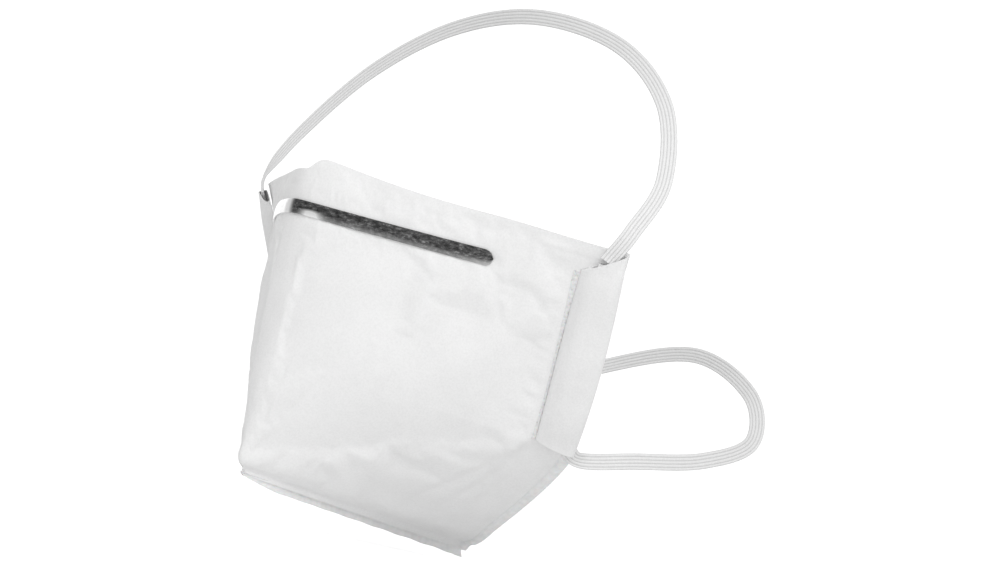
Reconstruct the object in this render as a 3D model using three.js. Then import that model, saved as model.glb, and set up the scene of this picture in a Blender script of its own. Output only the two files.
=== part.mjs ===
// A disposable flat-fold dust mask, opened out: two mirrored fabric halves that meet along a front
// fold and a chin seam, a metal nose clip, and one elastic strap threaded through a sleeve on each side.
// Millimetres. +Z is up, -Y is the way the wearer faces, and +X is the wearer's left.
// The pieces are drawn from a point on the front fold, halfway up it. The finished mask is then moved
// so that the origin is under the middle of its box, at the level of its lowest point.
import * as THREE from 'three';

// Corners of the left half. The right half is its mirror image.
const foldTop = new THREE.Vector3(0, 0, 54);
const foldBottom = new THREE.Vector3(0, 1, -55);
const chinPoint = new THREE.Vector3(0, 112, -65.7);
const sleeveTop = new THREE.Vector3(101.5, 65.5, 50);
const sleeveBottom = new THREE.Vector3(72, 89, -23);

// Shape of the shell.
const sleeveShare = 0.62;       // share of the rear edge, from the top, that the sleeve takes
const noseSharpness = 0.12;     // roundness of the front fold at the top edge
const cheekRoundness = 0.95;    // roundness of the front fold at the chin
const hemFullness = 1.15;       // above 1, the chin hem bows outward below the sleeve
const cornerSoftness = 0.2;     // how far along the rear edge the rounding reaches, as a share of it
const softSamples = 4;
const cornerHold = 4;           // how closely the shell's edge keeps to the corner that its middle rounds off
const backwardSweep = 1.6;      // above 1, the shell leaves the front fold sideways before it runs back
const seamHalfWidth = 3.4;      // the outer surface's distance from the mid plane along the chin seam
const midPlaneGap = 0.2;        // clearance between each half and the mid plane

// Fabric layers, as distances inward from the outer surface.
const layers = [
  { name: 'outer_cover', from: 0, to: 0.5, color: 0xf2f2f2 },
  { name: 'filter_layer', from: 0.8, to: 1.2, color: 0xf7f7f5 },
  { name: 'support_layer', from: 1.5, to: 2.1, color: 0xefefec },
  { name: 'inner_cover', from: 2.4, to: 2.9, color: 0xf4f4f4 },
];
const gridAcross = 14;
const gridDown = 14;

// Nose clip and the foam strip behind it.
const clipDrop = 0.125;          // how far down the shell the clip lies, as a share of its height
const clipHalfHeight = 0.0232;   // half of its 5 mm width, as a share of the shell's height
const clipColumns = 10;           // grid columns that the clip runs along the half
const clipReach = clipColumns / gridAcross;
const clipLift = 0.6;
const clipThickness = 0.8;
const foamLift = -3.6;
const foamThickness = 2.4;
const foamHalfHeight = 0.042;
const foamColumns = 7;            // the foam ends with the clip, and starts this many columns before

// Strap and sleeve.
const strapWidth = 6;
const strapThickness = 1.2;
const sleeveHalfWidth = 6;
const sleeveHalfDepth = 2.6;
const sleeveWall = 0.7;
const sleeveInset = 6.2;
const sleeveLift = 3.2;
const sleeveEndShare = [0.03, 0.95];
const nearRear = 0.9;            // a point this far along the half gives the way to its rear edge
const nearEnd = 0.1;
const runEndShare = [0.06, 0.92];
const mouthGap = 0.6;
const facingAtCrown = new THREE.Vector3(0, -0.669, 0);
const facingAtCheek = new THREE.Vector3(0.743, -0.669, 0);
const facingTurnWidth = 45;

// Chin seam fin.
const finHeight = 3;
const finThickness = 0.9;
const finDrop = 0.8;

const lerp = THREE.MathUtils.lerp;

const fabric = (color) => new THREE.MeshStandardMaterial({ color, roughness: 0.9, metalness: 0 });
const metal = new THREE.MeshStandardMaterial({ color: 0x8d8f92, roughness: 0.25, metalness: 1 });
const foam = new THREE.MeshStandardMaterial({ color: 0xe8e8e4, roughness: 1, metalness: 0 });
const elastic = new THREE.MeshStandardMaterial({ color: 0xe4e4e4, roughness: 0.8, metalness: 0 });

// Rear edge of the left half: down the sleeve, then round the hem to the chin point.
function rearEdge(down) {
  if (down <= sleeveShare) {
    return sleeveTop.clone().lerp(sleeveBottom, down / sleeveShare);
  }
  const along = Math.min((down - sleeveShare) / (1 - sleeveShare), 1);
  return new THREE.Vector3(
    seamHalfWidth + (sleeveBottom.x - seamHalfWidth) * (1 - along ** hemFullness),
    lerp(sleeveBottom.y, chinPoint.y, along),
    lerp(sleeveBottom.z, chinPoint.z, along),
  );
}

// The rear edge with its corner below the sleeve rounded off, which the middle of the shell follows.
function softRearEdge(down) {
  const reach = cornerSoftness * THREE.MathUtils.smoothstep(Math.min(down, 1 - down), 0, cornerSoftness);
  const sum = new THREE.Vector3();
  for (let i = -softSamples; i <= softSamples; i += 1) {
    sum.add(rearEdge(down + reach * i / softSamples));
  }
  return sum.divideScalar(2 * softSamples + 1);
}

// Outer surface of the left half: across runs from the front fold (0) to the rear edge (1), and
// down runs from the top edge (0) to the chin seam (1).
function shellPoint(across, down) {
  const front = foldTop.clone().lerp(foldBottom, down);
  const rear = softRearEdge(down).lerp(rearEdge(down), across ** cornerHold);
  const depth = across ** backwardSweep;
  const roundness = lerp(noseSharpness, cheekRoundness, Math.sin(down * Math.PI / 2));
  const x = rear.x * Math.sqrt(depth * (roundness + (1 - roundness) * depth));
  return new THREE.Vector3(x, lerp(front.y, rear.y, depth), lerp(front.z, rear.z, lerp(across, depth, down)));
}

// Outward normal of the left half.
function shellNormal(across, down) {
  const step = 0.004;
  const a = Math.max(across, step);
  const low = shellPoint(a - step, down);
  const high = shellPoint(Math.min(a + step, 1), down);
  const above = shellPoint(a, Math.max(down - step, 0));
  const below = shellPoint(a, Math.min(down + step, 1));
  const normal = high.sub(low).cross(above.sub(below)).normalize();
  if (across === 0) {
    normal.x = 0;
    normal.normalize();
  }
  return normal;
}

// A point at a distance outward from the surface, kept on its own side of the mid plane.
function offsetPoint(across, down, lift) {
  const point = shellPoint(across, down).addScaledVector(shellNormal(across, down), lift);
  point.x = Math.max(point.x, midPlaneGap);
  return point;
}

// A closed solid from rings of points, each ring with the same count. Capped at both ends.
function loft(rings) {
  const count = rings[0].length;
  const positions = rings.flat().flatMap((p) => [p.x, p.y, p.z]);
  const index = [];
  for (let r = 0; r + 1 < rings.length; r += 1) {
    for (let i = 0; i < count; i += 1) {
      const next = (i + 1) % count;
      const [a, b, c, d] = [r * count + i, r * count + next, (r + 1) * count + next, (r + 1) * count + i];
      index.push(a, b, c, a, c, d);
    }
  }
  const last = (rings.length - 1) * count;
  for (let i = 1; i + 1 < count; i += 1) {
    index.push(0, i + 1, i);
    index.push(last, last + i, last + i + 1);
  }
  return geometryFrom(positions, index);
}

function geometryFrom(positions, index) {
  const geometry = new THREE.BufferGeometry();
  geometry.setAttribute('position', new THREE.Float32BufferAttribute(positions, 3));
  geometry.setIndex(signedVolume(positions, index) < 0 ? flipped(index) : index);
  geometry.computeVertexNormals();
  return geometry;
}

function signedVolume(positions, index) {
  const corner = (i) => new THREE.Vector3().fromArray(positions, index[i] * 3);
  let volume = 0;
  for (let i = 0; i < index.length; i += 3) {
    volume += corner(i).dot(corner(i + 1).cross(corner(i + 2))) / 6;
  }
  return volume;
}

function flipped(index) {
  const turned = [];
  for (let i = 0; i < index.length; i += 3) {
    turned.push(index[i], index[i + 2], index[i + 1]);
  }
  return turned;
}

// A sheet of the shell between two distances from its surface, over a patch of it.
function sheet({ start, end, top, bottom, columns, rows, liftInner, liftOuter }) {
  const positions = [];
  const index = [];
  const at = (side, row, column) => (side * (rows + 1) + row) * (columns + 1) + column;
  for (const lift of [liftInner, liftOuter]) {
    for (let row = 0; row <= rows; row += 1) {
      for (let column = 0; column <= columns; column += 1) {
        const p = offsetPoint(lerp(start, end, column / columns), lerp(top, bottom, row / rows), lift);
        positions.push(p.x, p.y, p.z);
      }
    }
  }
  const quad = (a, b, c, d) => index.push(a, b, c, a, c, d);
  for (let row = 0; row < rows; row += 1) {
    for (let column = 0; column < columns; column += 1) {
      quad(at(0, row, column), at(0, row + 1, column), at(0, row + 1, column + 1), at(0, row, column + 1));
      quad(at(1, row, column), at(1, row, column + 1), at(1, row + 1, column + 1), at(1, row + 1, column));
    }
  }
  for (let row = 0; row < rows; row += 1) {
    quad(at(0, row, 0), at(1, row, 0), at(1, row + 1, 0), at(0, row + 1, 0));
    quad(at(0, row, columns), at(0, row + 1, columns), at(1, row + 1, columns), at(1, row, columns));
  }
  for (let column = 0; column < columns; column += 1) {
    quad(at(0, 0, column), at(0, 0, column + 1), at(1, 0, column + 1), at(1, 0, column));
    quad(at(0, rows, column), at(1, rows, column), at(1, rows, column + 1), at(0, rows, column + 1));
  }
  return geometryFrom(positions, index);
}

// The outer cover reaches every edge. The layers behind it stop one grid line short, inside the welds,
// and share its grid lines, so that the sheets stay parallel.
function fabricLayer(layer) {
  const margin = layer.name === 'outer_cover' ? 0 : 1;
  return sheet({
    start: 0, end: 1 - margin / gridAcross, top: margin / gridDown, bottom: 1 - margin / gridDown,
    columns: gridAcross - margin, rows: gridDown - 2 * margin, liftInner: -layer.to, liftOuter: -layer.from,
  });
}

function noseClip() {
  return sheet({
    start: 0, end: clipReach, top: clipDrop - clipHalfHeight, bottom: clipDrop + clipHalfHeight,
    columns: clipColumns, rows: 1, liftInner: clipLift, liftOuter: clipLift + clipThickness,
  });
}

function noseFoam() {
  return sheet({
    start: (clipColumns - foamColumns) / gridAcross, end: clipReach,
    top: clipDrop - foamHalfHeight, bottom: clipDrop + foamHalfHeight,
    columns: foamColumns, rows: 1, liftInner: foamLift - foamThickness, liftOuter: foamLift,
  });
}

// Place of the sleeve at a share of its length, 0 at its top and 1 at its bottom: the middle of the
// tube, the way out of the shell, and the way toward the shell's rear edge.
function sleevePlace(share) {
  const down = share * sleeveShare;
  const edge = shellPoint(1, down);
  const outward = shellNormal(1, down);
  const rearward = edge.clone().sub(shellPoint(nearRear, down)).normalize();
  rearward.addScaledVector(outward, -rearward.dot(outward)).normalize();
  const centre = edge.addScaledVector(rearward, -sleeveInset).addScaledVector(outward, sleeveLift);
  return { centre, outward, rearward };
}

function ellipseRing({ centre, outward, rearward }, halfWidth, halfDepth, count) {
  return Array.from({ length: count }, (_, i) => {
    const angle = (i / count) * Math.PI * 2;
    return centre.clone()
      .addScaledVector(rearward, halfWidth * Math.cos(angle))
      .addScaledVector(outward, halfDepth * Math.sin(angle));
  });
}

// An open flattened tube.
function strapSleeve() {
  const count = 20;
  const steps = 6;
  const rings = [];
  for (let i = 0; i <= steps; i += 1) {
    const place = sleevePlace(lerp(...sleeveEndShare, i / steps));
    rings.push(ellipseRing(place, sleeveHalfWidth, sleeveHalfDepth, count));
  }
  for (let i = steps; i >= 0; i -= 1) {
    const place = sleevePlace(lerp(...sleeveEndShare, i / steps));
    rings.push(ellipseRing(place, sleeveHalfWidth - sleeveWall, sleeveHalfDepth - sleeveWall, count));
  }
  const positions = rings.flat().flatMap((p) => [p.x, p.y, p.z]);
  const index = [];
  for (let r = 0; r < rings.length; r += 1) {
    for (let i = 0; i < count; i += 1) {
      const next = (i + 1) % count;
      const following = ((r + 1) % rings.length) * count;
      const [a, b, c, d] = [r * count + i, r * count + next, following + next, following + i];
      index.push(a, b, c, a, c, d);
    }
  }
  return geometryFrom(positions, index);
}

// Four corners of the strap's section, for a tangent and a direction that its flat side faces.
function strapSection(point, tangent, facing) {
  const normal = facing.clone().addScaledVector(tangent, -facing.dot(tangent)).normalize();
  const side = tangent.clone().cross(normal).normalize();
  const corners = [[-1, -1], [1, -1], [1, 1], [-1, 1]];
  return corners.map(([w, h]) => point.clone()
    .addScaledVector(side, w * strapWidth / 2)
    .addScaledVector(normal, h * strapThickness / 2));
}

// The way down the sleeve at one of its ends.
const downTop = sleevePlace(nearEnd).centre.sub(sleevePlace(0).centre).normalize();
const downBottom = sleevePlace(1).centre.sub(sleevePlace(1 - nearEnd).centre).normalize();

function strapRun() {
  const steps = 6;
  const rings = [];
  for (let i = 0; i <= steps; i += 1) {
    const { centre, outward } = sleevePlace(lerp(...runEndShare, i / steps));
    rings.push(strapSection(centre, downTop.clone().lerp(downBottom, i / steps), outward));
  }
  return loft(rings);
}

// The strap's flat side turns from facing forward at the crown to facing outward at the sleeve.
function strapFacing(point) {
  return facingAtCrown.clone().lerp(facingAtCheek, THREE.MathUtils.smoothstep(point.x, 0, facingTurnWidth));
}

// Half of a strap loop, from a sleeve's mouth to the crown of the loop on the mid plane.
function strapLoop(points) {
  const curve = new THREE.CatmullRomCurve3(points, false, 'centripetal');
  const steps = 28;
  const rings = [];
  for (let i = 0; i <= steps; i += 1) {
    const point = curve.getPointAt(i / steps);
    rings.push(strapSection(point, curve.getTangentAt(i / steps), strapFacing(point)));
  }
  for (const corner of rings[steps]) {
    corner.x = midPlaneGap;
  }
  return loft(rings);
}

function headband() {
  const mouth = sleevePlace(0).centre.addScaledVector(downTop, -mouthGap);
  return strapLoop([
    mouth,
    new THREE.Vector3(102, 64, 56),
    new THREE.Vector3(100, 75, 76),
    new THREE.Vector3(80, 86, 104),
    new THREE.Vector3(45, 91, 124),
    new THREE.Vector3(midPlaneGap, 90, 131),
  ]);
}

function neckband() {
  const mouth = sleevePlace(1).centre.addScaledVector(downBottom, mouthGap);
  return strapLoop([
    mouth,
    new THREE.Vector3(72, 93, -26),
    new THREE.Vector3(76, 115, -20),
    new THREE.Vector3(75, 150, -14),
    new THREE.Vector3(64, 184, -3),
    new THREE.Vector3(40, 202, 15),
    new THREE.Vector3(midPlaneGap, 209, 26),
  ]);
}

// A flat strip of welded fabric hanging below the chin seam.
function chinSeam() {
  const corners = [[foldBottom, 0], [chinPoint, 0], [chinPoint, finHeight], [foldBottom, finHeight]];
  return loft([midPlaneGap, midPlaneGap + finThickness].map((x) => corners.map(([corner, drop]) => (
    new THREE.Vector3(x, corner.y, corner.z - finDrop - drop)
  ))));
}

function mirrored(geometry) {
  const positions = Array.from(geometry.attributes.position.array, (v, i) => (i % 3 === 0 ? -v : v));
  return geometryFrom(positions, Array.from(geometry.index.array));
}

const pieces = [
  ...layers.map((layer) => [layer.name, fabricLayer(layer), fabric(layer.color)]),
  ['strap_sleeve', strapSleeve(), fabric(0xf4f4f4)],
  ['chin_seam', chinSeam(), fabric(0xeaeaea)],
  ['nose_clip', noseClip(), metal],
  ['nose_foam', noseFoam(), foam],
  ['strap_run', strapRun(), elastic],
  ['headband', headband(), elastic],
  ['neckband', neckband(), elastic],
];

const mask = new THREE.Group();
for (const [name, geometry, material] of pieces) {
  const left = new THREE.Mesh(geometry, material);
  left.name = `${name}_left`;
  const right = new THREE.Mesh(mirrored(geometry), material.clone());
  right.name = `${name}_right`;
  mask.add(left, right);
}

const box = new THREE.Box3().setFromObject(mask);
const middle = box.getCenter(new THREE.Vector3());
mask.position.set(-middle.x, -middle.y, -box.min.z);
mask.updateMatrixWorld(true);

export default mask;
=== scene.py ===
"""The looks of a disposable flat-fold dust mask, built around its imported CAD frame. Metres, +Z up."""
import math

import bpy
import numpy as np
from mathutils import Matrix, Vector


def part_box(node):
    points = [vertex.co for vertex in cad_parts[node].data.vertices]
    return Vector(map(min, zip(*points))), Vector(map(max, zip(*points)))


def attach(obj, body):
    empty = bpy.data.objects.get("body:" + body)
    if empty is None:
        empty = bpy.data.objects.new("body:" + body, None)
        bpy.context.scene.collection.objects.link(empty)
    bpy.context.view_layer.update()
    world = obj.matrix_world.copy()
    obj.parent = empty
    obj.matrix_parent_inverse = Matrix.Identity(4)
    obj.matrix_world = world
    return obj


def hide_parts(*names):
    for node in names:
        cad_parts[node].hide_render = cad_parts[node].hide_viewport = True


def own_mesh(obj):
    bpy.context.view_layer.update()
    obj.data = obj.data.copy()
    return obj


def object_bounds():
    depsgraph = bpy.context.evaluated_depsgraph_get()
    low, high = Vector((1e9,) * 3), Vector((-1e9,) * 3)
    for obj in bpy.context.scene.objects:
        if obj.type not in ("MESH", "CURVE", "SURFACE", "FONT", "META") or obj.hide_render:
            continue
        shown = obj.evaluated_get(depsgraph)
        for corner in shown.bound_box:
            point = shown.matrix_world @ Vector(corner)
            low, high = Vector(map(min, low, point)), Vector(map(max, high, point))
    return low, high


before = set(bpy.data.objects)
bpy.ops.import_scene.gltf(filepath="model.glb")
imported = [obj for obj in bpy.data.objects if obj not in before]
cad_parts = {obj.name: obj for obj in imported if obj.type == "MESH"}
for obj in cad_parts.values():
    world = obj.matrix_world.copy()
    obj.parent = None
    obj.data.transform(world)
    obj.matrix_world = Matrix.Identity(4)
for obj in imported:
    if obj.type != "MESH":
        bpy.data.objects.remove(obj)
cad_low, cad_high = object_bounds()

MM = 0.001
SIDES = ("left", "right")

# Shapes are drawn from a point halfway up the front fold. The chin seam's box says where it is in the frame.
FIN_DEPTH = 3.8 * MM
seam_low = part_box("chin_seam_left")[0]
FOLD_BOTTOM = np.array([0.0, 1 * MM, -55 * MM])
CHIN_POINT = np.array([0.0, 112 * MM, -65.7 * MM])
FOLD_MIDDLE = np.array([0.0, seam_low.y - FOLD_BOTTOM[1], seam_low.z - CHIN_POINT[2] + FIN_DEPTH])

# The other corners of the left half.
FOLD_TOP = np.array([0.0, 0.0, 54 * MM])
SLEEVE_TOP = np.array([101.5 * MM, 65.5 * MM, 50 * MM])
SLEEVE_BOTTOM = np.array([72 * MM, 89 * MM, -23 * MM])

# The same shape rules as the CAD shell.
SLEEVE_SHARE = 0.62
NOSE_SHARPNESS = 0.12
CHEEK_ROUNDNESS = 0.95
HEM_FULLNESS = 1.15
CORNER_SOFTNESS = 0.2
SOFT_SAMPLES = 4
CORNER_HOLD = 4
BACKWARD_SWEEP = 1.6
SEAM_HALF_WIDTH = 3.4 * MM

# What only the visible fabric has: its front corner set back, and top edges that rise and drop.
FRONT_CORNER_SETBACK = 1.8 * MM
LEFT_EDGE_RISE = 5.2 * MM
LEFT_CORNER_DROP = 2.0 * MM
RIGHT_CORNER_RISE = 2.5 * MM

# Rough size of a half, which turns lengths into shares of it.
HALF_HEIGHT = 108 * MM
HALF_WIDTH = 109 * MM

# Fineness of the webs, the step that finds a surface's direction, and what counts as on the fold.
GRID = 150
NORMAL_STEP = 0.004
ON_FOLD = 1e-6
MID_PLANE_GAP = 0.02 * MM


# ---------------------------------------------------------------- shape of the shell

def lerp(a, b, t):
    return a + (b - a) * t


def smooth(low, high, value):
    t = np.clip((value - low) / (high - low), 0.0, 1.0)
    return t * t * (3 - 2 * t)


def bell(value, centre, width):
    return np.exp(-(((value - centre) / width) ** 2))


def top_edge_rise(side, across, down):
    """The left top edge stands up beside the front fold and drops at the rear, where the right one rises."""
    if side == "left":
        beside_fold = (1 - bell(across, 0.0, 0.075)) * bell(across, 0.05, 0.42)
        rise = LEFT_EDGE_RISE * beside_fold - LEFT_CORNER_DROP * smooth(0.7, 1, across)
    else:
        rise = RIGHT_CORNER_RISE * smooth(0.2, 1.0, across)
    return rise * (1 - smooth(0.0, 0.12, down))


def rear_edge(down):
    """Rear edge of the left half: down the sleeve, then round the hem to the chin point."""
    upper = lerp(SLEEVE_TOP, SLEEVE_BOTTOM, np.clip(down / SLEEVE_SHARE, 0, 1)[..., None])
    along = np.clip((down - SLEEVE_SHARE) / (1 - SLEEVE_SHARE), 0, 1)
    hem_x = SEAM_HALF_WIDTH + (SLEEVE_BOTTOM[0] - SEAM_HALF_WIDTH) * (1 - along ** HEM_FULLNESS)
    lower = np.stack([hem_x, lerp(SLEEVE_BOTTOM[1], CHIN_POINT[1], along),
                      lerp(SLEEVE_BOTTOM[2], CHIN_POINT[2], along)], -1)
    return np.where((down <= SLEEVE_SHARE)[..., None], upper, lower)


def soft_rear_edge(down):
    """The rear edge with its corner rounded off, which the middle of the shell follows."""
    reach = CORNER_SOFTNESS * smooth(0, CORNER_SOFTNESS, np.minimum(down, 1 - down))
    steps = np.arange(-SOFT_SAMPLES, SOFT_SAMPLES + 1) / SOFT_SAMPLES
    return sum(rear_edge(down + reach * step) for step in steps) / len(steps)


def shell_points(across, down):
    """Outer surface of the left half. across runs back from the front fold, down from the top edge."""
    across, down = np.broadcast_arrays(np.asarray(across, float), np.asarray(down, float))
    front = lerp(FOLD_TOP, FOLD_BOTTOM, down[..., None])
    rear = lerp(soft_rear_edge(down), rear_edge(down), (across ** CORNER_HOLD)[..., None])
    depth = across ** BACKWARD_SWEEP
    roundness = lerp(NOSE_SHARPNESS, CHEEK_ROUNDNESS, np.sin(down * math.pi / 2))
    x = rear[..., 0] * np.sqrt(depth * (roundness + (1 - roundness) * depth))
    y = lerp(front[..., 1], rear[..., 1], depth)
    y = y + FRONT_CORNER_SETBACK * smooth(0.93, 1.0, down) ** 2 * bell(across, 0.0, 0.06)
    z = lerp(front[..., 2], rear[..., 2], lerp(across, depth, down))
    return np.stack([x, y, z], -1)


def shell_normals(across, down):
    """Outward directions of the left half."""
    across, down = np.broadcast_arrays(np.asarray(across, float), np.asarray(down, float))
    step = NORMAL_STEP
    a = np.clip(across, step, 1.0)
    d_across = shell_points(np.clip(a + step, 0, 1), down) - shell_points(a - step, down)
    d_down = shell_points(a, np.clip(down + step, 0, 1)) - shell_points(a, np.clip(down - step, 0, 1))
    normal = np.cross(d_down, d_across)
    normal = normal / np.maximum(np.linalg.norm(normal, axis=-1, keepdims=True), 1e-12)
    if normal[..., 1].mean() > 0:
        normal = -normal
    on_fold = across < ON_FOLD
    normal[on_fold, 0] = 0.0
    return normal / np.maximum(np.linalg.norm(normal, axis=-1, keepdims=True), 1e-12)


# ---------------------------------------------------------------- wrinkles by cloth simulation

SIM_GRID = 64
SIM_FRAMES = 24
WRINKLE_CAP = 1.5 * MM
WRINKLE_SEEDS = {"left": 11, "right": 23}
STARTING_UNEVENNESS = 0.25 * MM
CLOTH_SHRINK = -0.022    # below 0, the cloth is larger than its frame
_wrinkles = {}


def value_noise(across, down, seed, cells):
    """Smooth random field between -1 and 1, the same for the same seed."""
    table = np.random.default_rng(seed).uniform(-1, 1, (cells + 2, cells + 2))
    u, v = np.clip(across, 0, 1) * cells, np.clip(down, 0, 1) * cells
    i, j = np.minimum(u.astype(int), cells - 1), np.minimum(v.astype(int), cells - 1)
    fu, fv = smooth(0, 1, u - i), smooth(0, 1, v - j)
    top = lerp(table[j, i], table[j, i + 1], fu)
    bottom = lerp(table[j + 1, i], table[j + 1, i + 1], fu)
    return lerp(top, bottom, fv)


def simulated_offsets(seed):
    """Cloth a little too large for its frame, held along its edges and under the clip, buckles."""
    line = np.linspace(0, 1, SIM_GRID)
    across, down = np.meshgrid(line, line)
    rest = shell_points(across, down)
    normals = shell_normals(across, down)
    start = rest + normals * (value_noise(across, down, seed, 9) * STARTING_UNEVENNESS)[..., None]
    faces = grid_faces(SIM_GRID, SIM_GRID, 0, False)
    mesh = bpy.data.meshes.new("wrinkle_cloth")
    mesh.from_pydata(start.reshape(-1, 3).tolist(), [], faces)
    cloth_object = bpy.data.objects.new("wrinkle_cloth", mesh)
    bpy.context.scene.collection.objects.link(cloth_object)
    held = (across < 0.05) | (across > 0.88) | (down < 0.02) | (down > 0.97)
    held |= (np.abs(down - CLIP_DOWN) < 0.03) & (across < CLIP_REACH)
    pins = cloth_object.vertex_groups.new(name="held")
    pins.add(np.flatnonzero(held.ravel()).tolist(), 1.0, "REPLACE")
    cloth = cloth_object.modifiers.new("cloth", "CLOTH")
    settings = cloth.settings
    settings.quality = 6
    settings.mass = 0.08
    settings.tension_stiffness = 20
    settings.compression_stiffness = 20
    settings.shear_stiffness = 8
    settings.bending_stiffness = 0.6
    settings.vertex_group_mass = "held"
    settings.shrink_min = CLOTH_SHRINK
    settings.effector_weights.gravity = 0
    scene = bpy.context.scene
    for number in range(1, SIM_FRAMES + 1):
        scene.frame_set(number)
    evaluated = cloth_object.evaluated_get(bpy.context.evaluated_depsgraph_get())
    moved = np.array([v.co for v in evaluated.data.vertices]).reshape(rest.shape)
    offsets = np.clip(((moved - rest) * normals).sum(-1), -WRINKLE_CAP, WRINKLE_CAP)
    bpy.data.objects.remove(cloth_object)
    bpy.data.meshes.remove(mesh)
    scene.frame_set(1)
    return offsets


def wrinkles(side, across, down):
    """Distance that the fabric of one half stands off its smooth shape."""
    if side not in _wrinkles:
        seed = WRINKLE_SEEDS[side]
        _wrinkles[side] = simulated_offsets(seed)
    field = _wrinkles[side]
    u, v = np.clip(across, 0, 1) * (SIM_GRID - 1), np.clip(down, 0, 1) * (SIM_GRID - 1)
    i, j = np.minimum(u.astype(int), SIM_GRID - 2), np.minimum(v.astype(int), SIM_GRID - 2)
    fu, fv = u - i, v - j
    above = lerp(field[j, i], field[j, i + 1], fu)
    below = lerp(field[j + 1, i], field[j + 1, i + 1], fu)
    return lerp(above, below, fv)


# ---------------------------------------------------------------- relief of the fabric

CLIP_DOWN = 0.125
CLIP_REACH = 0.715
CLIP_HALF_HEIGHT = 2.5 * MM
WELD_ACROSS = 0.908
WELD_HALF_WIDTH = 0.010
HEM_WIDTH = 0.032
WRINKLE_SHARE = 0.75
SEAM_PULL = 1.1 * MM
SEAM_SWELL = 0.5 * MM
HEM_LINE_DEPTH = 0.7 * MM
HEM_SWELL = 0.35 * MM
TOP_LINE_DEPTH = 0.12 * MM
CREASES = ((0.30, 0.9 * MM), (0.62, 0.6 * MM), (0.02, 0.7 * MM))    # slant and depth of each
CREASE_LIP = 0.45
CLIP_PRESS = 0.25 * MM
CLIP_END_PUCKER = 0.5 * MM
WELD_PRESS = 0.35 * MM


def relief(side, across, down):
    """Height of the fabric's surface over the smooth shell: wrinkles, welds and creases."""
    height = WRINKLE_SHARE * wrinkles(side, across, down)
    edges = smooth(0.0, 0.03, down) * smooth(0.0, 0.05, 1 - down) * smooth(0.0, 0.05, across)
    height *= edges
    # The fabric is drawn in along the chin seam, and swells just above it.
    height -= SEAM_PULL * bell(down, 0.985, 0.012)
    height += SEAM_SWELL * bell(down, 0.94, 0.025)
    # Hem: a pressed line inside the rear edge, below the sleeve.
    below_sleeve = smooth(SLEEVE_SHARE - 0.01, SLEEVE_SHARE + 0.03, down)
    height -= HEM_LINE_DEPTH * bell(across, 1 - 1.15 * HEM_WIDTH, 0.012) * below_sleeve
    height += HEM_SWELL * bell(across, 1 - 0.4 * HEM_WIDTH, 0.012) * below_sleeve
    # Top edge: a faint pressed line a few millimetres down.
    height -= TOP_LINE_DEPTH * bell(down, 0.045, 0.006)
    # Creases that fan down from the lower end of the sleeve's weld.
    fan = smooth(SLEEVE_SHARE - 0.03, SLEEVE_SHARE + 0.05, down) * (1 - smooth(0.78, 0.97, down))
    for slant, depth in CREASES:
        centre = WELD_ACROSS - slant * (down - SLEEVE_SHARE)
        height -= depth * bell(across, centre, 0.013) * fan
        height += CREASE_LIP * depth * bell(across, centre - 0.028, 0.016) * fan
    # The clip presses the fabric in a little, and its ends pucker it.
    beside_clip = bell(down, CLIP_DOWN, 0.032) * (1 - smooth(CLIP_REACH, CLIP_REACH + 0.03, across))
    height -= CLIP_PRESS * beside_clip * smooth(0.05, 0.12, across)
    clip_end = bell(across, CLIP_REACH + 0.05, 0.03) * bell(down, CLIP_DOWN - 0.03, 0.05)
    height -= CLIP_END_PUCKER * clip_end
    # Weld beside the sleeve.
    beside_sleeve = smooth(0.07, 0.12, down) * (1 - smooth(SLEEVE_SHARE - 0.01, SLEEVE_SHARE + 0.02, down))
    height -= WELD_PRESS * bell(across, WELD_ACROSS - 0.004, 0.012) * beside_sleeve
    return height


def surface(side, across, down, lift=0.0):
    """Points of one half's wrinkled surface, lifted outward, with the right half mirrored."""
    across, down = np.broadcast_arrays(np.asarray(across, float), np.asarray(down, float))
    points = shell_points(across, down)
    points[..., 2] += top_edge_rise(side, across, down)
    height = relief(side, across, down) + lift
    points = points + shell_normals(across, down) * height[..., None]
    points[..., 0] = np.where(across < ON_FOLD, 0.0, np.maximum(points[..., 0], MID_PLANE_GAP))
    return mirror(points, side)


def mirror(points, side):
    points = np.array(points, float)
    if side == "right":
        points[..., 0] *= -1
    return points


# ---------------------------------------------------------------- mesh helpers

def grid_faces(rows, columns, first, flip):
    faces = []
    for r in range(rows - 1):
        for c in range(columns - 1):
            a = first + r * columns + c
            quad = (a, a + columns, a + columns + 1, a + 1)
            faces.append(quad[::-1] if flip else quad)
    return faces


def make_object(name, points, faces, material, smooth_angle=50):
    mesh = bpy.data.meshes.new(name)
    mesh.from_pydata((np.asarray(points) + FOLD_MIDDLE).tolist(), [], faces)
    mesh.validate()
    obj = bpy.data.objects.new(name, mesh)
    bpy.context.scene.collection.objects.link(obj)
    bpy.context.view_layer.objects.active = obj
    bpy.ops.object.select_all(action="DESELECT")
    obj.select_set(True)
    bpy.ops.object.mode_set(mode="EDIT")
    bpy.ops.mesh.select_all(action="SELECT")
    bpy.ops.mesh.normals_make_consistent(inside=False)
    bpy.ops.object.mode_set(mode="OBJECT")
    bpy.ops.object.shade_smooth_by_angle(angle=math.radians(smooth_angle))
    mesh.materials.append(material)
    return obj


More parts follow.
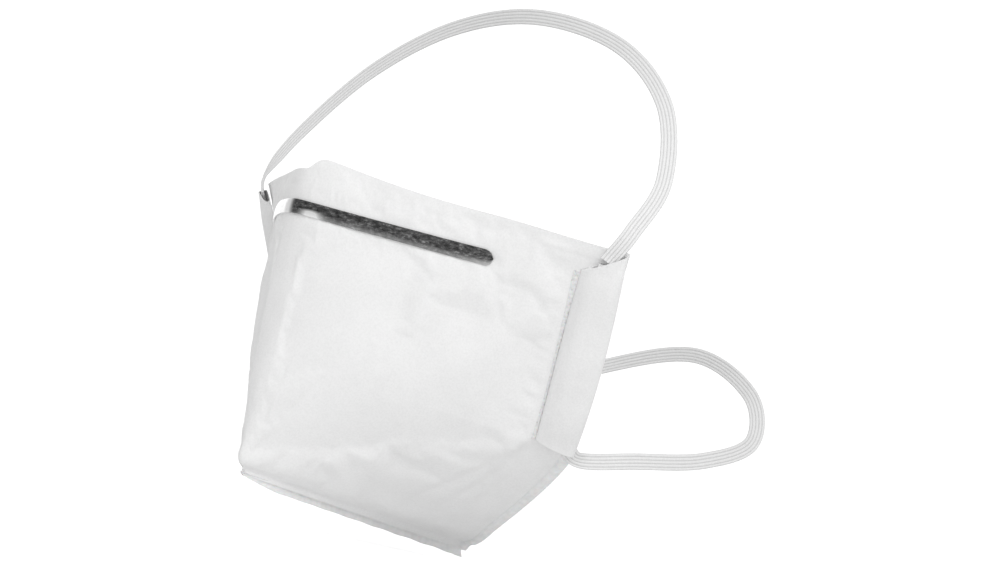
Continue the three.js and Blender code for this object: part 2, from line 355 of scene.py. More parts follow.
def closed_sheet(outer, inner):
    """Points and faces of a thin solid between two grids of the same size."""
    rows, columns = outer.shape[:2]
    count = rows * columns
    faces = grid_faces(rows, columns, 0, False) + grid_faces(rows, columns, count, True)
    border = [(0, c) for c in range(columns)] + [(r, columns - 1) for r in range(1, rows)]
    border += [(rows - 1, c) for c in range(columns - 2, -1, -1)] + [(r, 0) for r in range(rows - 2, 0, -1)]
    ring = [r * columns + c for r, c in border]
    for a, b in zip(ring, ring[1:] + ring[:1]):
        faces.append((a, b, b + count, a + count))
    return np.concatenate([outer.reshape(-1, 3), inner.reshape(-1, 3)]), faces


def tube_faces(rings, count, closed_ends):
    faces = []
    for r in range(rings - 1):
        for i in range(count):
            j = (i + 1) % count
            faces.append((r * count + i, r * count + j, (r + 1) * count + j, (r + 1) * count + i))
    if closed_ends:
        faces.append(tuple(range(count))[::-1])
        faces.append(tuple((rings - 1) * count + i for i in range(count)))
    return faces


def settle(obj, node, side, body=None):
    """Give a finished piece its body and its own mesh, and hide the CAD node that it replaces."""
    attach(obj, body or f"{side}_half")
    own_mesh(obj)
    if node:
        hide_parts(node)


# ---------------------------------------------------------------- materials

class Nodes:
    """A short way to write a material's node tree."""

    def __init__(self, name):
        self.material = bpy.data.materials.new(name)
        self.material.use_nodes = True
        self.tree = self.material.node_tree
        self.shader = self.tree.nodes["Principled BSDF"]
        self.place = self.add("ShaderNodeTexCoord").outputs["Object"]

    def add(self, kind, **values):
        node = self.tree.nodes.new(kind)
        for key, value in values.items():
            if key in node.inputs:
                node.inputs[key].default_value = value
            else:
                setattr(node, key, value)
        return node

    def link(self, source, target):
        self.tree.links.new(source, target)

    def noise(self, scale, detail=4.0, roughness=0.6, stretch=None):
        node = self.add("ShaderNodeTexNoise", Scale=scale, Detail=detail, Roughness=roughness)
        place = self.place
        if stretch:
            mapping = self.add("ShaderNodeMapping")
            mapping.inputs["Scale"].default_value = stretch
            self.link(self.place, mapping.inputs["Vector"])
            place = mapping.outputs["Vector"]
        self.link(place, node.inputs["Vector"])
        return node.outputs["Fac"]

    def ramp(self, source, stops):
        node = self.add("ShaderNodeValToRGB")
        elements = node.color_ramp.elements
        for i, (at, colour) in enumerate(stops):
            element = elements[i] if i < 2 else elements.new(at)
            element.position = at
            element.color = (*colour, 1.0)
        self.link(source, node.inputs["Fac"])
        return node.outputs["Color"]

    def mix(self, factor, a, b, blend_type="MIX"):
        node = self.add("ShaderNodeMix", data_type="RGBA", blend_type=blend_type)
        node.inputs["Factor"].default_value = factor
        self.link(a, node.inputs["A"])
        self.link(b, node.inputs["B"])
        return node.outputs["Result"]

    def bump(self, *layers):
        """Each layer is a height output, its distance and its strength."""
        previous = None
        for height, distance, strength in layers:
            node = self.add("ShaderNodeBump", Distance=distance, Strength=strength)
            self.link(height, node.inputs["Height"])
            if previous:
                self.link(previous, node.inputs["Normal"])
            previous = node.outputs["Normal"]
        self.link(previous, self.shader.inputs["Normal"])

    def set(self, **values):
        for key, value in values.items():
            self.shader.inputs[key.replace("_", " ")].default_value = value


def grey(value):
    return (value, value, value)


def non_woven(name, light, dark, fibre=0.6, gloss=0.8):
    """Spun-bonded web: fine tangled fibres, small bonded points and slow cloudy variation."""
    n = Nodes(name)
    clouds = n.ramp(n.noise(55.0, 3.0), ((0.35, grey(dark)), (0.7, grey(light))))
    specks = n.ramp(n.noise(1400.0, 2.0), ((0.3, grey(0.9)), (0.62, grey(1.0))))
    n.link(n.mix(0.5, clouds, specks, "MULTIPLY"), n.shader.inputs["Base Color"])
    bonds = n.add("ShaderNodeTexVoronoi", Scale=900.0, feature="SMOOTH_F1")
    n.link(n.place, bonds.inputs["Vector"])
    fibres = n.noise(2200.0, 5.0, 0.7, stretch=(1.0, 1.0, 0.35))
    n.bump((n.noise(150.0, 3.0), 0.4 * MM, 0.06), (bonds.outputs["Distance"], 0.1 * MM, 0.25),
           (fibres, 0.08 * MM, fibre))
    n.set(Roughness=gloss, Sheen_Weight=0.25, Sheen_Roughness=0.5, Subsurface_Weight=0.15,
          Subsurface_Scale=0.6 * MM, Specular_IOR_Level=0.25)
    n.shader.inputs["Subsurface Radius"].default_value = (1.0, 1.0, 1.0)
    return n.material


def welded(name):
    """Web pressed and melted: greyer, partly in its own colour and partly as painted shade of the sleeve
    beside it, a little glossy, with rows of small dents.
    """
    n = Nodes(name)
    dents = n.add("ShaderNodeTexVoronoi", Scale=620.0, feature="F1", Randomness=0.25)
    n.link(n.place, dents.inputs["Vector"])
    # Grey tone: the melted web's own grey, darkened further as painted shade from the sleeve beside the
    # weld.
    tone = n.ramp(dents.outputs["Distance"], ((0.10, grey(0.66)), (0.30, grey(0.82))))
    patches = n.ramp(n.noise(260.0), ((0.3, grey(0.82)), (0.75, grey(1.0))))
    n.link(n.mix(0.4, tone, patches, "MULTIPLY"), n.shader.inputs["Base Color"])
    n.bump((dents.outputs["Distance"], 0.25 * MM, 0.6), (n.noise(1800.0), 0.05 * MM, 0.4))
    n.set(Roughness=0.5, Specular_IOR_Level=0.4, Subsurface_Weight=0.1, Subsurface_Scale=0.5 * MM)
    return n.material


def clip_metal(name):
    """Soft rolled strip: painted dark reflections, a speckle of tiny dents, and a painted glint where it
    shines.
    """
    n = Nodes(name)
    streaks = n.noise(900.0, 6.0, 0.75, stretch=(0.5, 0.5, 1.2))
    patches = n.noise(330.0, 6.0, 0.8)
    # Painted reflection: the dark streaked tone stands in for the dark reflections of the metal.
    tone = n.ramp(streaks, ((0.36, grey(0.04)), (0.54, grey(0.15)), (0.72, grey(0.58))))
    shade = n.ramp(patches, ((0.38, grey(0.45)), (0.62, grey(1.0))))
    # Painted highlight: a value on each point of the clip mixes a bright copy of the metal's colour into the
    # painted dark reflections.
    painted_glint = n.add("ShaderNodeAttribute", attribute_name="painted_glint")
    dark = n.mix(0.8, tone, shade, "MULTIPLY")
    painted_highlight = n.ramp(patches, ((0.2, grey(0.90)), (0.5, grey(1.0))))
    painted_reflection_tone = n.mix(0.0, dark, painted_highlight)
    n.link(painted_glint.outputs["Fac"], painted_reflection_tone.node.inputs["Factor"])
    n.link(painted_reflection_tone, n.shader.inputs["Base Color"])
    rough = n.add("ShaderNodeMapRange")
    rough.inputs["To Min"].default_value = 0.18
    rough.inputs["To Max"].default_value = 0.46
    n.link(patches, rough.inputs["Value"])
    n.link(rough.outputs["Result"], n.shader.inputs["Roughness"])
    n.bump((n.noise(1300.0, 4.0, 0.7), 0.10 * MM, 0.45), (patches, 0.2 * MM, 0.25))
    n.set(Metallic=1.0)
    return n.material


def knitted_elastic(name):
    """Rubber-cored tape: fine cross threads between its lengthwise ribs, with painted shade in the grooves
    and on the edges.
    """
    n = Nodes(name)
    # Painted shade: each point's rib value paints the grooves and edges darker than the ribs.
    groove_shading = n.add("ShaderNodeAttribute", attribute_name="rib")
    tone = n.ramp(groove_shading.outputs["Fac"], ((0.15, grey(0.66)), (0.75, grey(0.87))))
    yarn = n.ramp(n.noise(900.0, 3.0), ((0.3, grey(0.9)), (0.7, grey(1.0))))
    n.link(n.mix(0.6, tone, yarn, "MULTIPLY"), n.shader.inputs["Base Color"])
    threads = n.add("ShaderNodeTexVoronoi", Scale=1500.0, feature="SMOOTH_F1")
    n.link(n.place, threads.inputs["Vector"])
    n.bump((threads.outputs["Distance"], 0.12 * MM, 0.7), (n.noise(2600.0), 0.05 * MM, 0.5))
    n.set(Roughness=0.75, Sheen_Weight=0.15, Specular_IOR_Level=0.3)
    return n.material


def open_foam(name):
    """Fine-celled foam strip."""
    n = Nodes(name)
    cells = n.add("ShaderNodeTexVoronoi", Scale=1100.0, feature="F1")
    n.link(n.place, cells.inputs["Vector"])
    tone = n.ramp(cells.outputs["Distance"], ((0.1, grey(0.52)), (0.5, grey(0.74))))
    n.link(tone, n.shader.inputs["Base Color"])
    n.bump((cells.outputs["Distance"], 0.3 * MM, 0.8))
    n.set(Roughness=0.95)
    return n.material


def pressed_fabric(name):
    """The cover where it is pressed flat along an edge: brighter than a weld, with faint dents."""
    n = Nodes(name)
    tone = n.ramp(n.noise(420.0, 3.0), ((0.3, grey(0.80)), (0.7, grey(0.90))))
    n.link(tone, n.shader.inputs["Base Color"])
    dents = n.add("ShaderNodeTexVoronoi", Scale=700.0, feature="SMOOTH_F1", Randomness=0.4)
    n.link(n.place, dents.inputs["Vector"])
    n.bump((dents.outputs["Distance"], 0.15 * MM, 0.35), (n.noise(2000.0), 0.05 * MM, 0.4))
    n.set(Roughness=0.65, Sheen_Weight=0.1, Subsurface_Weight=0.1, Subsurface_Scale=0.5 * MM)
    return n.material


COVER = non_woven("outer_fabric", 0.92, 0.885)
INNER = non_woven("inner_fabric", 0.90, 0.85, fibre=0.4, gloss=0.7)
FILTER = non_woven("filter_web", 0.92, 0.88, fibre=0.9)
SUPPORT = non_woven("support_web", 0.86, 0.80, fibre=1.0)
SLEEVE = non_woven("sleeve_fabric", 0.91, 0.86)
WELD = welded("welded_seam")
PRESSED_EDGE = pressed_fabric("pressed_edge")
METAL = clip_metal("clip_metal")
ELASTIC = knitted_elastic("elastic")
FOAM = open_foam("nose_foam")


# ---------------------------------------------------------------- fabric layers

WEB_MARGIN = 0.055
SEAM_MARGIN = 0.066
EDGE_OUTER = 0.53 * MM
EDGE_INNER = 0.95 * MM

# Name, depths of its two faces below the surface, material, slot, and whether it stops short of the edges.
LAYERS = (
    ("outer_cover", 0.0 * MM, 0.5 * MM, COVER, "outer_fabric", False),
    ("filter_layer", 0.8 * MM, 1.2 * MM, FILTER, "filter_web", True),
    ("support_layer", 1.5 * MM, 2.1 * MM, SUPPORT, "support_web", True),
    ("inner_cover", 2.4 * MM, 2.9 * MM, INNER, "inner_fabric", False),
)


def edge_closing(across, down):
    """0 where the covers are welded together, 1 away from the edges."""
    return smooth(0.012, 0.05, down) * smooth(0.012, 0.06, 1 - down) * smooth(0.02, 0.065, 1 - across)


def fabric_layer(side, node, outer_depth, inner_depth, material, slot, stops_short):
    """One web of one half. The inner cover rises to meet the outer one at the edges."""
    line = np.linspace(0, 1, GRID)
    if stops_short:
        across, down = np.meshgrid(line * (1 - WEB_MARGIN), lerp(WEB_MARGIN, 1 - SEAM_MARGIN, line))
    else:
        across, down = np.meshgrid(line, line)
    if node == "inner_cover":
        closing = edge_closing(across, down)
        outer_depth = lerp(EDGE_OUTER, outer_depth, closing)
        inner_depth = lerp(EDGE_INNER, inner_depth, closing)
    outer = surface(side, across, down, -outer_depth)
    inner = surface(side, across, down, -inner_depth)
    points, faces = closed_sheet(outer, inner)
    obj = make_object(f"{node}_{side}_web", points, faces, material)
    settle(obj, f"{node}_{side}", side)


# ---------------------------------------------------------------- nose clip and foam

CLIP_THICKNESS = 0.5 * MM
CLIP_LIFT = 0.15 * MM
CLIP_CROWN = 0.22 * MM
# Painted highlight and painted shade in the clip's colour: bright beside the fold, along the lower edge and
# at the end, dark on the fold.
PAINTED_FOLD_GLINT = 1.3
PAINTED_FOLD_SHADE = 0.2
PAINTED_EDGE_GLINT = 0.22
PAINTED_END_GLINT = 0.35
FOAM_START = 0.13
FOAM_HALF_HEIGHT = 0.042
FOAM_BASE = 3.05 * MM
FOAM_EDGE = 3.15 * MM
FOAM_PUFF = 2.3 * MM


def painted_clip_glint(side, across, offset):
    """Painted highlight on the clip: the right half all over, the left beside the fold, at its end and
    below; painted shade on the fold.
    """
    if side == "right":
        return smooth(0.0, 0.035, across)
    lower = smooth(0.15, 1.0, offset)
    beside_fold = PAINTED_FOLD_GLINT * bell(across, 0.085, 0.045) * smooth(-0.1, 0.5, offset)
    on_fold = PAINTED_FOLD_SHADE * bell(across, 0.0, 0.06)
    at_end = PAINTED_END_GLINT * bell(across, CLIP_REACH, 0.06) * lower
    return beside_fold - on_fold + PAINTED_EDGE_GLINT * lower + at_end


def nose_clip(side):
    """A strip with a rounded end, slightly crowned, that follows the fabric."""
    columns, rows = 120, 15
    along = np.linspace(0, 1, columns)
    before_end = (1 - along) * CLIP_REACH * HALF_WIDTH
    rounding = np.clip(1 - before_end / CLIP_HALF_HEIGHT, 0, 1)
    half = CLIP_HALF_HEIGHT * np.sqrt(np.maximum(1 - rounding ** 2, 0.002))
    across, offset = np.meshgrid(along * CLIP_REACH, np.linspace(-1, 1, rows))
    down = CLIP_DOWN + offset * half[None, :] / HALF_HEIGHT
    crown = (1 - np.abs(offset) ** 4) * CLIP_CROWN
    normals = shell_normals(across, down)
    fabric_height = relief(side, across, np.full_like(down, CLIP_DOWN))
    base = shell_points(across, down) + normals * (fabric_height + CLIP_LIFT)[..., None]
    top = base + normals * (CLIP_THICKNESS + crown)[..., None]
    base[..., 0][across < ON_FOLD] = 0.0
    top[..., 0][across < ON_FOLD] = 0.0
    points, faces = closed_sheet(mirror(top, side), mirror(base, side))
    obj = make_object(f"nose_clip_strip_{side}", points, faces, METAL, 35)
    # Painted highlight and shade, kept on each point for the clip's material.
    painted_glint = painted_clip_glint(side, across, offset)
    values = np.concatenate([painted_glint.ravel(), painted_glint.ravel()])
    obj.data.attributes.new("painted_glint", "FLOAT", "POINT").data.foreach_set("value", values)
    settle(obj, f"nose_clip_{side}", side)


def nose_foam(side):
    """A padded strip on the inner cover behind the clip."""
    columns, rows = 70, 13
    across, offset = np.meshgrid(np.linspace(FOAM_START, CLIP_REACH, columns), np.linspace(-1, 1, rows))
    middle, half = (CLIP_REACH + FOAM_START) / 2, (CLIP_REACH - FOAM_START) / 2
    ends = np.sqrt(np.clip(1 - np.abs((across - middle) / half) ** 16, 0, 1))
    puff = (1 - np.abs(offset) ** 4) * ends
    down = CLIP_DOWN + offset * FOAM_HALF_HEIGHT
    back = surface(side, across, down, -FOAM_BASE)
    face = surface(side, across, down)
    drop = mirror(shell_normals(across, down), side) * (FOAM_EDGE + FOAM_PUFF * puff)[..., None]
    points, faces = closed_sheet(back, face - drop)
    obj = make_object(f"nose_foam_strip_{side}", points, faces, FOAM)
    settle(obj, f"nose_foam_{side}", side)


# ---------------------------------------------------------------- strap sleeve

SLEEVE_HALF_WIDTH = 6.3 * MM
SLEEVE_LIP_REACH = 8.4 * MM
SLEEVE_HEIGHT = 4.8 * MM
SLEEVE_WALL = 0.45 * MM
SLEEVE_LIFT = 0.25 * MM
SQUARE_SIDES = 0.8          # below 1, the section is squarer than an oval
SQUARE_TOP = 0.85
INNER_LIP_SHARE = 0.6
SWELL_REACH = 0.75
WIDEST_HEIGHT = 0.38
LEAST_ROOM = 0.1
SLEEVE_MOUTH = {"left": 0.078, "right": 0.02}    # where the upper mouth starts, as a share of the sleeve
SLEEVE_END = 0.985
MOUTH_SLANT = 0.05
END_SLANT = 0.006
MOUTH_PINCH = 0.34
END_PINCH = 0.28
MIDDLE_BULGE = 0.24
SLEEVE_SEEDS = {"left": 5, "right": 8}
SLEEVE_RIPPLE = 0.35 * MM
WELD_START = 0.095
WELD_RIB = 0.28 * MM
WELD_DENT = 0.30 * MM
WELD_DENT_ROWS = 36
WELD_FACE = 0.1 * MM
WELD_BASE = 0.15 * MM


def sleeve_place(share):
    """Middle of the sleeve's base, the way out of the shell, and the way to its rear edge (left side)."""
    down = share * SLEEVE_SHARE
    edge = shell_points(1.0, down)
    outward = shell_normals(1.0, down)
    rearward = edge - shell_points(0.9, down)
    rearward = rearward - outward * (rearward @ outward)
    rearward /= np.linalg.norm(rearward)
    return edge - rearward * SLEEVE_HALF_WIDTH, outward, rearward


def sleeve_profile(count, inner):
    """Across and up positions round the tube: a thin front lip that swells to a rounded rear edge."""
    angle = np.linspace(0, 2 * math.pi, count, endpoint=False)
    c = np.sign(np.cos(angle)) * np.abs(np.cos(angle)) ** SQUARE_SIDES
    high = np.sign(np.sin(angle)) * np.abs(np.sin(angle)) ** SQUARE_TOP
    wall = SLEEVE_WALL if inner else 0.0
    forward = SLEEVE_LIP_REACH * (INNER_LIP_SHARE if inner else 1.0)
    wide = np.where(c > 0, c * (SLEEVE_HALF_WIDTH - wall), c * forward)
    slope = np.clip((wide / SLEEVE_LIP_REACH + 1.0) / SWELL_REACH, 0, 1)
    swell = np.sqrt(1 - (1 - slope) ** 2) * SLEEVE_HEIGHT
    room = np.maximum(swell - 2 * wall, LEAST_ROOM * swell)
    return wide, WIDEST_HEIGHT * swell + np.where(high > 0, 1 - WIDEST_HEIGHT, WIDEST_HEIGHT) * high * room


def strap_sleeve(side):
    """The side edge folded outward into a puffed tube with a slanted upper mouth."""
    rings, count = 90, 64
    skins = []
    for inner in (False, True):
        wide, rise = sleeve_profile(count, inner)
        skin = []
        for r in range(rings):
            t = r / (rings - 1)
            ring = []
            pinch = 1 - MOUTH_PINCH * bell(t, 0.0, 0.10) - END_PINCH * bell(t, 1.0, 0.10)
            bulge = 1 + MIDDLE_BULGE * math.sin(math.pi * t)
            for i in range(count):
                lean = wide[i] / SLEEVE_HALF_WIDTH
                reach = wide[i] * (bulge if lean > 0 else 1)
                share = lerp(SLEEVE_MOUTH[side] - MOUTH_SLANT * lean, SLEEVE_END + END_SLANT * lean, t)
                centre, outward, rearward = sleeve_place(share)
                up = rise[i] * pinch + SLEEVE_LIFT
                if rise[i] > SLEEVE_HEIGHT / 2:
                    around, lengthwise = np.array(i / count), np.array(t)
                    up += SLEEVE_RIPPLE * value_noise(around, lengthwise, SLEEVE_SEEDS[side], 6)
                ring.append(centre + rearward * reach + outward * up)
            skin.append(ring)
        skins.append(np.array(skin))
    points = np.concatenate([skins[0].reshape(-1, 3), skins[1].reshape(-1, 3)])
    shift = rings * count
    outer_faces = tube_faces(rings, count, False)
    faces = outer_faces + [tuple(v + shift for v in f)[::-1] for f in outer_faces]
    for first in (0, (rings - 1) * count):
        for i in range(count):
            j = (i + 1) % count
            faces.append((first + i, first + j, first + j + shift, first + i + shift))
    obj = make_object(f"strap_sleeve_{side}_tube", mirror(points, side), faces, SLEEVE)
    settle(obj, f"strap_sleeve_{side}", side)


def dent_rows(lengthwise, crosswise):
    """Depth between 0 and 1 of rows of round dents, one row to each whole step lengthwise."""
    wave = np.cos(2 * math.pi * lengthwise) * np.cos(2 * math.pi * crosswise)
    return np.maximum(wave, 0) ** 2


def raised_band(name, side, across, down, height, depth, material):
    """A welded band on the fabric, from a depth in it to a height over it."""
    lift = mirror(shell_normals(across, down), side) * height[..., None]
    points, faces = closed_sheet(surface(side, across, down) + lift, surface(side, across, down, -depth))
    obj = make_object(name, points, faces, material)
    settle(obj, None, side)


def sleeve_weld(side):
    """The pressed band that closes the sleeve, with rows of dents."""
    rows, columns = 260, 17
    lengthwise = np.linspace(WELD_START, SLEEVE_SHARE * SLEEVE_END, rows)
    down, t = np.meshgrid(lengthwise, np.linspace(-1, 1, columns), indexing="ij")
    across = WELD_ACROSS + t * WELD_HALF_WIDTH
    rib = WELD_RIB * (1 - np.abs(t) ** 4)
    dents = WELD_DENT * dent_rows(down * WELD_DENT_ROWS, 0.75 * t)
    raised_band(f"sleeve_weld_band_{side}", side, across, down, rib - dents + WELD_FACE, WELD_BASE, WELD)


# ---------------------------------------------------------------- chin seam and hem

FIN_HEIGHT = 3.2 * MM
FIN_THICKNESS = 0.45 * MM
FIN_ROOT_THICKNESS = 0.7 * MM
FIN_ROOT_RISE = 0.9 * MM
FIN_SPACING = 1.15          # above 1, steps along the fin are closer at the front
FIN_FRONT_SHARE = 0.3
FIN_FRONT_LEAN = 0.8 * MM
FIN_WAVE = 0.05
FIN_WAVES = 61
FIN_DENT_ROWS = 52
FIN_DENT = 0.35
TAB_LENGTH = 1.4 * MM
TAB_DROP = 0.5 * MM
HEM_START = 0.004
HEM_END = 0.995
HEM_WELD_WIDTH = 0.75 * HEM_WIDTH
HEM_DENT_ROWS = 70
HEM_DENT = 0.18 * MM
HEM_RISE = 0.25 * MM
HEM_FACE = 0.12 * MM
HEM_BASE = 0.1 * MM


def chin_seam(side):
    """Half of the welded fin under the chin, rounded at the front and with a small tab at the back."""
    columns, rows = 200, 13
    t, drop = np.meshgrid(np.linspace(0, 1, columns), np.linspace(0, 1, rows))
    depth = t ** FIN_SPACING
    waves = 1 + FIN_WAVE * np.sin(t * FIN_WAVES) * t
    height = FIN_HEIGHT * lerp(FIN_FRONT_SHARE, 1, smooth(0.0, 0.25, t)) * waves
    start = lerp(FOLD_BOTTOM, CHIN_POINT, depth[..., None])
    start[..., 1] += (FRONT_CORNER_SETBACK + FIN_FRONT_LEAN * drop) * (1 - smooth(0, 0.05, t))
    start[..., 1] += TAB_LENGTH * smooth(0.985, 1.0, t) * drop
    start[..., 2] += FIN_ROOT_RISE - drop * height - TAB_DROP * smooth(0.97, 1.0, t) * drop
    dents = dent_rows(depth * FIN_DENT_ROWS, (drop - 0.5) / 2)
    thick = FIN_THICKNESS * (1 - FIN_DENT * dents) + FIN_ROOT_THICKNESS * (1 - smooth(0.0, 0.35, drop))
    outer = start.copy()
    outer[..., 0] = thick
    inner = start.copy()
    inner[..., 0] = MID_PLANE_GAP
    points, faces = closed_sheet(mirror(outer, side), mirror(inner, side))
    obj = make_object(f"chin_seam_fin_{side}", points, faces, PRESSED_EDGE)
    settle(obj, f"chin_seam_{side}", side)


def hem_binding(side):
    """The welded edge of the hem, from the sleeve's lower end round to the chin."""
    rows, columns = 150, 11
    lengthwise = np.linspace(SLEEVE_SHARE + HEM_START, HEM_END, rows)
    down, t = np.meshgrid(lengthwise, np.linspace(0, 1, columns), indexing="ij")
    across = 1 - HEM_WELD_WIDTH * (1 - t)
    dents = HEM_DENT * dent_rows(down * HEM_DENT_ROWS, (t - 0.5) / 2)
    round_top = HEM_RISE * np.sqrt(np.clip(1 - (2 * t - 1) ** 2, 0, 1))
    height = round_top - dents * smooth(0, 0.3, t) * smooth(0, 0.3, 1 - t) + HEM_FACE
    raised_band(f"hem_weld_{side}", side, across, down, height, HEM_BASE, PRESSED_EDGE)


# ---------------------------------------------------------------- elastic strap

STRAP_WIDTH = 6.0 * MM
STRAP_THICKNESS = 1.0 * MM
RIBS = 5
RIB_HEIGHT = 0.2 * MM
# Painted shade on the tape: its grooves and round edges are painted darker than its ribs.
EDGE_SHADING = 0.4              # tone of the tape's edges, between a groove (0) and a rib (1)
STRAP_LIFT = 2.6 * MM       # the strap's height in the sleeve
STRAP_SHIFT = 2.6 * MM      # how far behind the sleeve's middle the neck loop leaves it
FACING_TURN = 45 * MM
MOUTH_TURN = 22 * MM
FACING_FORWARD = -0.669
FACING_SIDEWAYS = {"left": (0.30, 0.743), "right": (-0.30, -0.05)}    # at the crown, and at the cheek
UPPER_START = {"left": 0.07, "right": 0.03}    # shares of the sleeve where the head loop starts
LOWER_START = 0.955
RUN_SHARES = (0.09, 0.93)
LOOP_STEPS = 260
RUN_STEPS = 60
CURVE_SAMPLES = 60

# Points that each loop passes through, from the sleeve's mouth to its crown in the mid plane (left side).
UPPER_LOOP = np.array([[102, 64, 56], [100, 75, 76], [80, 86, 104], [45, 91, 124]]) * MM
UPPER_CROWN = np.array([0, 90, 131]) * MM
LOWER_LOOP = np.array([[72, 93, -24], [76, 115, -20], [75, 150, -14], [64, 184, -3], [40, 202, 15]]) * MM
LOWER_CROWN = np.array([0, 209, 26]) * MM


def strap_section():
    """Across and up positions round the tape: ribbed faces and round edges, and each point's painted shade.
    """
    half = STRAP_WIDTH / 2 - STRAP_THICKNESS / 2
    radius = 0.42 * STRAP_THICKNESS
    w = np.linspace(-half, half, 41)
    rib = np.abs(np.cos(w / STRAP_WIDTH * math.pi * RIBS))
    face = STRAP_THICKNESS / 2 - RIB_HEIGHT * (1 - rib)
    bend = np.linspace(-math.pi / 2, math.pi / 2, 7)[1:-1]
    right = [(half + radius * math.cos(b), -radius * math.sin(b)) for b in bend]
    left = [(-x, -y) for x, y in right]
    # Painted shade for each point of the section: 1 on a rib, down to 0 in a groove, and a middle value on
    # the round edges.
    edge = [EDGE_SHADING] * len(right)
    groove_shading = [*rib, *edge, *rib[::-1], *edge]
    return np.array(list(zip(w, face)) + right + list(zip(w[::-1], -face[::-1])) + left), groove_shading


def smooth_path(points, steps):
    """A Catmull-Rom curve through all points but the first and last, which only guide it, evenly stepped."""
    p = np.array(points, float)
    dense = []
    for k in range(1, len(p) - 2):
        t = np.linspace(0, 1, CURVE_SAMPLES, endpoint=False)[:, None]
        a, b, c, d = p[k - 1], p[k], p[k + 1], p[k + 2]
        curved = (2 * a - 5 * b + 4 * c - d) * t ** 2 + (3 * b - a - 3 * c + d) * t ** 3
        dense.append(0.5 * (2 * b + (c - a) * t + curved))
    dense = np.vstack(dense + [p[-2][None]])
    length = np.concatenate([[0], np.cumsum(np.linalg.norm(np.diff(dense, axis=0), axis=1))])
    even = np.linspace(0, length[-1], steps)
    return np.stack([np.interp(even, length, dense[:, k]) for k in range(3)], -1)


def tape(name, path, facing, side, material):
    """Sweep the tape along a path, its flat side turned to facing at each step."""
    tangent = np.gradient(path, axis=0)
    tangent /= np.linalg.norm(tangent, axis=1, keepdims=True)
    normal = facing - tangent * (facing * tangent).sum(1, keepdims=True)
    normal /= np.linalg.norm(normal, axis=1, keepdims=True)
    across = np.cross(tangent, normal)
    section, groove_shading = strap_section()
    rings = path[:, None] + across[:, None] * section[None, :, :1] + normal[:, None] * section[None, :, 1:]
    faces = tube_faces(len(path), len(section), True)
    obj = make_object(name, mirror(rings.reshape(-1, 3), side), faces, material, 40)
    # Painted shade of the grooves, kept on each point for the tape's material.
    obj.data.attributes.new("rib", "FLOAT", "POINT").data.foreach_set("value", groove_shading * len(path))
    return obj


def strap_middle(share):
    """Middle line of the strap inside the sleeve (left side)."""
    centre, outward, _ = sleeve_place(share)
    return centre + outward * STRAP_LIFT


def strap_facing(path, near, side):
    """Flat side: out of the shell beside the sleeve, then forward and sideways round the loop."""
    crown, cheek = FACING_SIDEWAYS[side]
    sideways = lerp(crown, cheek, smooth(0.0, FACING_TURN, path[:, 0]))
    loop = np.stack([sideways, np.full_like(sideways, FACING_FORWARD), np.zeros_like(sideways)], -1)
    travelled = np.concatenate([[0], np.cumsum(np.linalg.norm(np.diff(path, axis=0), axis=1))])
    return lerp(near, loop, smooth(0.0, MOUTH_TURN, travelled)[:, None])


def strap_loop(loop, band, side, start_share, shift, via, crown):
    """Half of a loop. It starts inside the sleeve and ends square to the mid plane."""
    _, outward, rearward = sleeve_place(start_share)
    start = strap_middle(start_share) + rearward * shift
    over_crown = via[-1] * np.array([-1, 1, 1])
    path = smooth_path([2 * start - via[0], start, *via, crown, over_crown], LOOP_STEPS)
    obj = tape(f"{loop}_{side}", path, strap_facing(path, outward, side), side, ELASTIC)
    settle(obj, f"{band}_{side}", side, body=f"{band}_{side}")


def strap_run(side):
    """The stretch of strap through the sleeve, between the ends of the two loops."""
    shares = np.linspace(*RUN_SHARES, RUN_STEPS)
    path = np.array([strap_middle(share) for share in shares])
    facing = np.array([sleeve_place(share)[1] for share in shares])
    obj = tape(f"strap_run_{side}_tape", path, facing, side, ELASTIC)
    settle(obj, f"strap_run_{side}", side)


# ---------------------------------------------------------------- build

def build_half(side):
    for layer in LAYERS:
        fabric_layer(side, *layer)
    nose_clip(side)
    nose_foam(side)
    strap_sleeve(side)
    sleeve_weld(side)
    chin_seam(side)
    hem_binding(side)
    strap_run(side)
    strap_loop("head_loop", "headband", side, UPPER_START[side], 0.0, UPPER_LOOP, UPPER_CROWN)
    strap_loop("neck_loop", "neckband", side, LOWER_START, STRAP_SHIFT, LOWER_LOOP, LOWER_CROWN)


for side_name in SIDES:
    build_half(side_name)


# ---------------------------------------------------------------- stage, light and camera

FLOOR_GAP = 1 * MM
BACKDROP_LIGHT = 1.15
ROOM_LIGHT = 0.62
FLOOR_GLOW = 0.5
FLOOR_SIZE = 12.0
LIGHT_TARGET = (0, 0, 0.07)
KEY_PLACE = (1.0, -0.6, 0.9)
KEY_SIZE = 0.8
KEY_POWER = 7.6
SIDE_PLACE = (-1.1, 0.45, 0.1)
SIDE_SIZE = 0.9
SIDE_POWER = 2.0


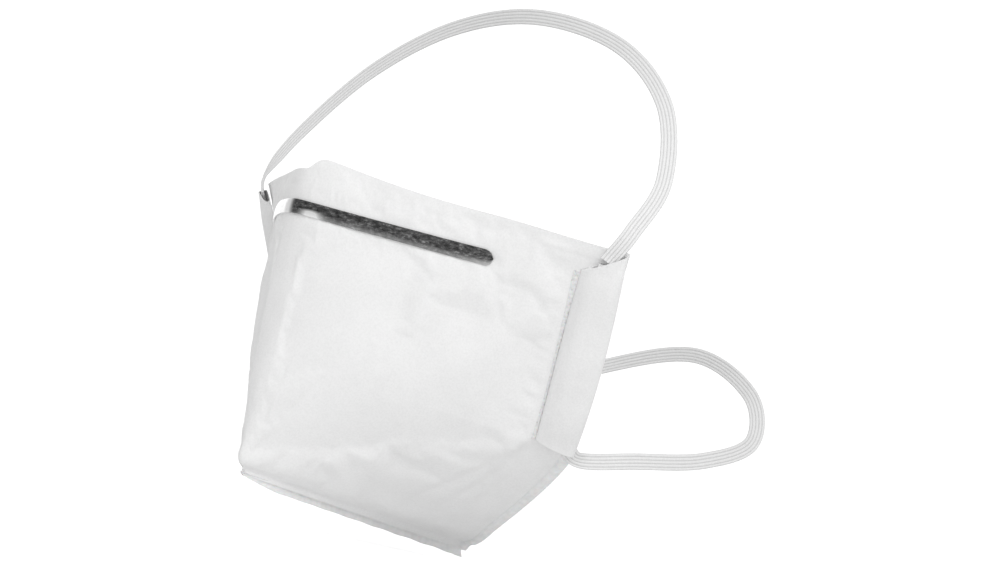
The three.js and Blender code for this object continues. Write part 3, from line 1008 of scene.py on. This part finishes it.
def build_stage():
    bpy.ops.mesh.primitive_plane_add(size=FLOOR_SIZE, location=(0, 0, cad_low[2] - FLOOR_GAP))
    floor = bpy.context.object
    floor.name = "floor"
    n = Nodes("floor")
    n.set(Roughness=0.9)
    n.shader.inputs["Base Color"].default_value = (0.92, 0.92, 0.92, 1)
    n.shader.inputs["Emission Color"].default_value = (1, 1, 1, 1)
    rays = n.add("ShaderNodeLightPath")
    glow = n.add("ShaderNodeMath", operation="MULTIPLY")
    glow.inputs[1].default_value = FLOOR_GLOW
    n.link(rays.outputs["Is Camera Ray"], glow.inputs[0])
    n.link(glow.outputs["Value"], n.shader.inputs["Emission Strength"])
    floor.data.materials.append(n.material)
    world = bpy.data.worlds.new("studio")
    world.use_nodes = True
    tree = world.node_tree
    background = tree.nodes["Background"]
    background.inputs["Color"].default_value = (1, 1, 1, 1)
    rays = tree.nodes.new("ShaderNodeLightPath")
    strength = tree.nodes.new("ShaderNodeMapRange")
    strength.inputs["To Min"].default_value = ROOM_LIGHT
    strength.inputs["To Max"].default_value = BACKDROP_LIGHT
    tree.links.new(rays.outputs["Is Camera Ray"], strength.inputs["Value"])
    tree.links.new(strength.outputs["Result"], background.inputs["Strength"])
    bpy.context.scene.world = world
    bpy.context.scene.view_settings.view_transform = "Standard"


def soft_light(name, place, size, power):
    data = bpy.data.lights.new(name, "AREA")
    data.size = size
    data.energy = power
    lamp = bpy.data.objects.new(name, data)
    lamp.location = place
    direction = Vector(LIGHT_TARGET) - Vector(place)
    lamp.rotation_euler = direction.to_track_quat("-Z", "Y").to_euler()
    bpy.context.scene.collection.objects.link(lamp)


AZIMUTH = math.radians(48.0)
ELEVATION = math.radians(-2.6)
ROLL = math.radians(13.0)
CAMERA_DISTANCE = 1.3
METRES_PER_FRAME = 0.350    # width of the view at the mask
SENSOR_WIDTH = 36
FOLD_TOP_FROM_CENTRE = (-0.195, 0.1135)


def build_camera():
    """A long lens at the side of the front fold, tilted so that the mask leans to the right."""
    a, e, r = AZIMUTH, ELEVATION, ROLL
    back = Vector((math.sin(a) * math.cos(e), -math.cos(a) * math.cos(e), math.sin(e)))
    right = Vector((math.cos(a), math.sin(a), 0))
    up = back.cross(right)
    image_right = right * math.cos(r) + up * math.sin(r)
    image_up = back.cross(image_right)
    offset_right, offset_up = (v * METRES_PER_FRAME for v in FOLD_TOP_FROM_CENTRE)
    target = Vector(FOLD_TOP + FOLD_MIDDLE) - image_right * offset_right - image_up * offset_up
    data = bpy.data.cameras.new("camera")
    data.sensor_width = SENSOR_WIDTH
    data.lens = SENSOR_WIDTH * CAMERA_DISTANCE / METRES_PER_FRAME
    data.clip_start = 0.01
    camera = bpy.data.objects.new("camera", data)
    rotation = Matrix((image_right, image_up, back)).transposed().to_4x4()
    camera.matrix_world = Matrix.Translation(target + back * CAMERA_DISTANCE) @ rotation
    bpy.context.scene.collection.objects.link(camera)
    bpy.context.scene.camera = camera


build_stage()
soft_light("key", KEY_PLACE, KEY_SIZE, KEY_POWER)
soft_light("side_card", SIDE_PLACE, SIDE_SIZE, SIDE_POWER)
build_camera()
